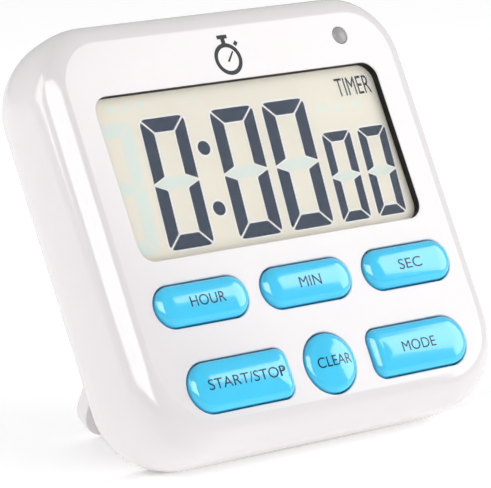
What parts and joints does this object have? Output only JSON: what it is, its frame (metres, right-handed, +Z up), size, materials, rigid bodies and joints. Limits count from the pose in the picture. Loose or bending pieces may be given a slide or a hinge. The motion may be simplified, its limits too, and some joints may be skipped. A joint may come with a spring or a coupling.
{
  "type": "digital countdown timer",
  "caption": "Small square digital timer leaning on a fold-out rear stand, with a large window display above soft blue push buttons, an alarm lamp, and a battery door and magnets in its back.",
  "frame": {"origin": "centre of the bounding box's bottom face, on the table under the timer standing on its open stand", "axes": "+Z up, +X to the right of the display seen from the front, +Y from the display towards the stand; the face leans back 28.1 degrees from the vertical"},
  "size_m": [0.08, 0.0486, 0.0713],
  "materials": {
    "white_abs": "gloss",
    "blue_plastic": "gloss",
    "clear_plastic": "clear",
    "black_plastic": "satin",
    "display": "satin",
    "grey_rubber": "matte",
    "carbon": "matte",
    "board_green": "satin",
    "epoxy_black": "satin",
    "steel": "satin",
    "nickel": "bright",
    "brass": "satin",
    "lamp_grey": "gloss",
    "cell_wrap": "satin",
    "wire_red": "satin",
    "wire_black": "satin"
  },
  "bodies": {
    "housing": {"alarm_lamp": "lamp_grey", "battery_cell_1": "cell_wrap", "battery_cell_2": "cell_wrap", "battery_wire_black": "wire_black", "battery_wire_red": "wire_red", "board_screw_1": "steel", "board_screw_2": "steel", "contact_bridge": "nickel", "contact_negative": "nickel", "contact_positive": "nickel", "controller_chip": "epoxy_black", "cover_screw_1": "steel", "cover_screw_2": "steel", "cover_screw_3": "steel", "cover_screw_4": "steel", "display_frame": "black_plastic", "display_window": "clear_plastic", "drive_transistor": "epoxy_black", "front_shell": "white_abs", "keypad_membrane": "grey_rubber", "lamp_wire_black": "wire_black", "lamp_wire_red": "wire_red", "lcd_backplate": "black_plastic", "lcd_panel": "display", "magnet_1": "nickel", "magnet_2": "nickel", "main_board": "board_green", "quartz_crystal": "steel", "rear_cover": "white_abs", "smoothing_capacitor": "steel", "sounder_coil": "epoxy_black", "sounder_disc": "brass", "sounder_wire_black": "wire_black", "sounder_wire_red": "wire_red", "spring_bridge": "nickel", "spring_negative": "nickel", "zebra_connector": "grey_rubber"},
    "hour_key": {"button_hour": "blue_plastic", "contact_hour": "carbon"},
    "minute_key": {"button_minute": "blue_plastic", "contact_minute": "carbon"},
    "second_key": {"button_second": "blue_plastic", "contact_second": "carbon"},
    "start_stop_key": {"button_start_stop": "blue_plastic", "contact_start_stop": "carbon"},
    "clear_key": {"button_clear": "blue_plastic", "contact_clear": "carbon"},
    "mode_key": {"button_mode": "blue_plastic", "contact_mode": "carbon"},
    "stand_leg": {"stand": "white_abs"},
    "door": {"battery_door": "white_abs"}
  },
  "joints": [
    {"name": "hour_press", "type": "slide", "parent": "housing", "child": "hour_key", "axis": [0, 0.8821, -0.471], "range_m": [0, 0.0008], "stiffness_N_per_m": 1500, "springref_m": -0.0004},
    {"name": "minute_press", "type": "slide", "parent": "housing", "child": "minute_key", "axis": [0, 0.8821, -0.471], "range_m": [0, 0.0008], "stiffness_N_per_m": 1500, "springref_m": -0.0004},
    {"name": "second_press", "type": "slide", "parent": "housing", "child": "second_key", "axis": [0, 0.8821, -0.471], "range_m": [0, 0.0008], "stiffness_N_per_m": 1500, "springref_m": -0.0004},
    {"name": "start_stop_press", "type": "slide", "parent": "housing", "child": "start_stop_key", "axis": [0, 0.8821, -0.471], "range_m": [0, 0.0008], "stiffness_N_per_m": 1500, "springref_m": -0.0004},
    {"name": "clear_press", "type": "slide", "parent": "housing", "child": "clear_key", "axis": [0, 0.8821, -0.471], "range_m": [0, 0.0008], "stiffness_N_per_m": 1500, "springref_m": -0.0004},
    {"name": "mode_press", "type": "slide", "parent": "housing", "child": "mode_key", "axis": [0, 0.8821, -0.471], "range_m": [0, 0.0008], "stiffness_N_per_m": 1500, "springref_m": -0.0004},
    {"name": "stand_hinge", "type": "hinge", "parent": "housing", "child": "stand_leg", "pos_m": [0, 0.00264, 0.02178], "axis": [1, 0, 0], "range_deg": [-54.6, 0]},
    {"name": "door_lift", "type": "slide", "parent": "housing", "child": "door", "axis": [0, 0.8821, -0.471], "range_m": [0, 0.03]}
  ]
}
